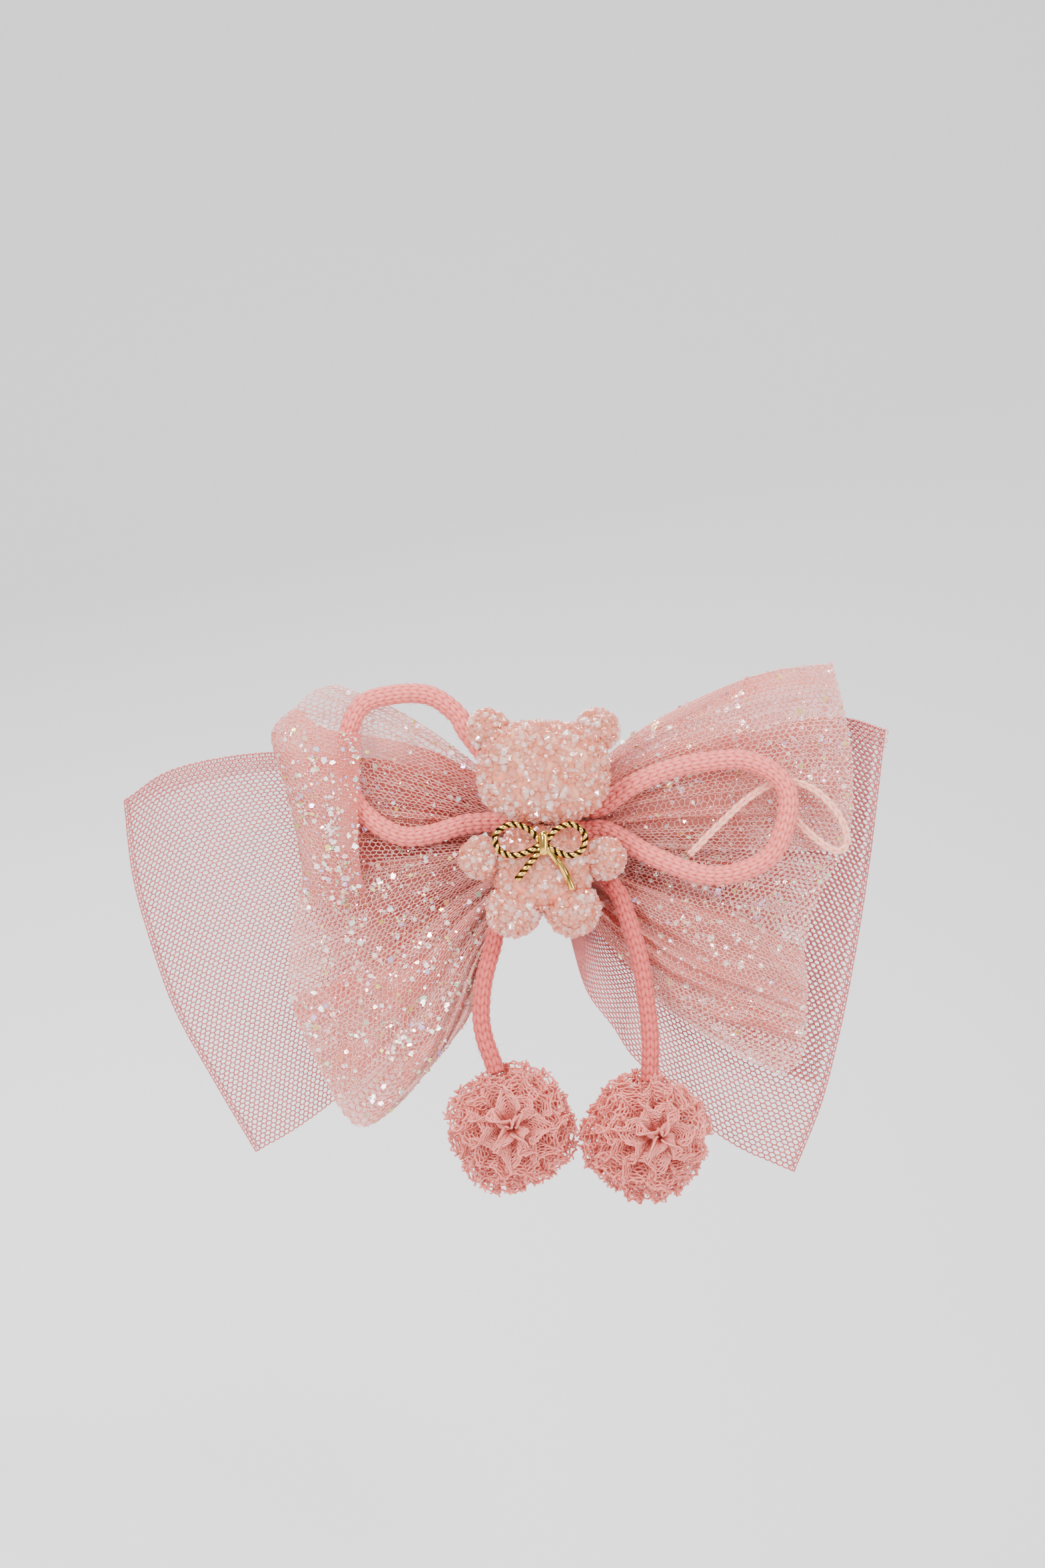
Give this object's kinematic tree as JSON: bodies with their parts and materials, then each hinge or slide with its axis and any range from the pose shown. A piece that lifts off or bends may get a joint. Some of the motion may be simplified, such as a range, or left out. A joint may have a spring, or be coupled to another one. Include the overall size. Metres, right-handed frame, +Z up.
{
  "type": "hair bow",
  "caption": "Wide tulle and mesh hair bow with knitted cord loops, two hanging net pompoms, a beaded bear, a gold wire bow and a spring barrette behind.",
  "frame": {"origin": "middle of the barrette base's inner face, where the gripped hair lies", "axes": "+X to the right as seen from the front, +Y towards the head, +Z up"},
  "size_m": [0.1495, 0.0462, 0.1051],
  "materials": {
    "stiff_mesh": "stiff hexagonal nylon mesh, dusty pink, pearly thread",
    "glitter_tulle": "soft tulle with glued iridescent flakes, pale salmon",
    "organza": "fine organza in loose gathers, peach",
    "knitted_cord": "knitted cotton cord, pale pink",
    "chain_cord": "crocheted chain cord, peach",
    "pompom_net": "knitted net ruffles, salmon pink",
    "felt": "felt",
    "crystal": "faceted clear stones over milky pink resin",
    "gold_wire": "polished gold plate",
    "nickel_steel": "nickel-plated spring steel"
  },
  "bodies": {
    "bow": {"barrette_base": "nickel_steel", "hinge_pin": "nickel_steel", "catch_post": "nickel_steel", "backing_strip": "felt", "bear_backing": "felt", "gather_wrap": "organza", "organza_lining_left": "organza", "organza_lining_right": "organza", "mesh_wing_left": "stiff_mesh", "mesh_wing_right": "stiff_mesh", "tulle_loop_upper_left": "glitter_tulle", "tulle_lobe_lower_left": "glitter_tulle", "tulle_lobe_upper_right": "glitter_tulle", "tulle_lobe_lower_right": "glitter_tulle", "cord_knot": "knitted_cord", "cord_loop_left": "knitted_cord", "cord_loop_right": "knitted_cord", "cord_tail_root_left": "knitted_cord", "cord_tail_root_right": "knitted_cord", "chain_cord_loop": "chain_cord", "bear_head": "crystal", "bear_torso": "crystal", "bear_ear_left": "crystal", "bear_ear_right": "crystal", "bear_arm_left": "crystal", "bear_arm_right": "crystal", "bear_leg_left": "crystal", "bear_leg_right": "crystal", "gold_wire_bow": "gold_wire"},
    "arm": {"closing_arm": "nickel_steel", "tension_leaf": "nickel_steel"},
    "prong_upper": {"catch_prong_upper": "nickel_steel"},
    "prong_lower": {"catch_prong_lower": "nickel_steel"},
    "tail_left": {"cord_tail_left": "knitted_cord"},
    "pompom_end_left": {"pompom_tie_left": "knitted_cord", "pompom_left": "pompom_net"},
    "tail_right": {"cord_tail_right": "knitted_cord"},
    "pompom_end_right": {"pompom_tie_right": "knitted_cord", "pompom_right": "pompom_net"}
  },
  "joints": [
    {"name": "arm_hinge", "type": "hinge", "parent": "bow", "child": "arm", "pos_m": [-0.0375, 0.0113, 0], "axis": [0, 0, 1], "range_deg": [0, 75]},
    {"name": "catch_squeeze_upper", "type": "hinge", "parent": "bow", "child": "prong_upper", "pos_m": [0.037, 0.0073, 0.0018], "axis": [-1, 0, 0], "range_deg": [0, 8], "stiffness_Nm_per_rad": 0.05},
    {"name": "catch_squeeze_lower", "type": "hinge", "parent": "bow", "child": "prong_lower", "pos_m": [0.037, 0.0073, -0.0018], "axis": [1, 0, 0], "range_deg": [0, 8], "stiffness_Nm_per_rad": 0.05},
    {"name": "left_tail_lift", "type": "hinge", "parent": "bow", "child": "tail_left", "pos_m": [-0.0097, -0.015, -0.02], "axis": [-1, 0, 0], "range_deg": [0, 70]},
    {"name": "left_pompom_swing", "type": "hinge", "parent": "tail_left", "child": "pompom_end_left", "pos_m": [-0.0092, -0.018, -0.0443], "axis": [0, 1, 0], "range_deg": [0, 18]},
    {"name": "right_tail_lift", "type": "hinge", "parent": "bow", "child": "tail_right", "pos_m": [0.0154, -0.0172, -0.012], "axis": [-1, 0, 0], "range_deg": [0, 70]},
    {"name": "right_pompom_swing", "type": "hinge", "parent": "tail_right", "child": "pompom_end_right", "pos_m": [0.0205, -0.018, -0.0459], "axis": [0, -1, 0], "range_deg": [0, 18]}
  ]
}
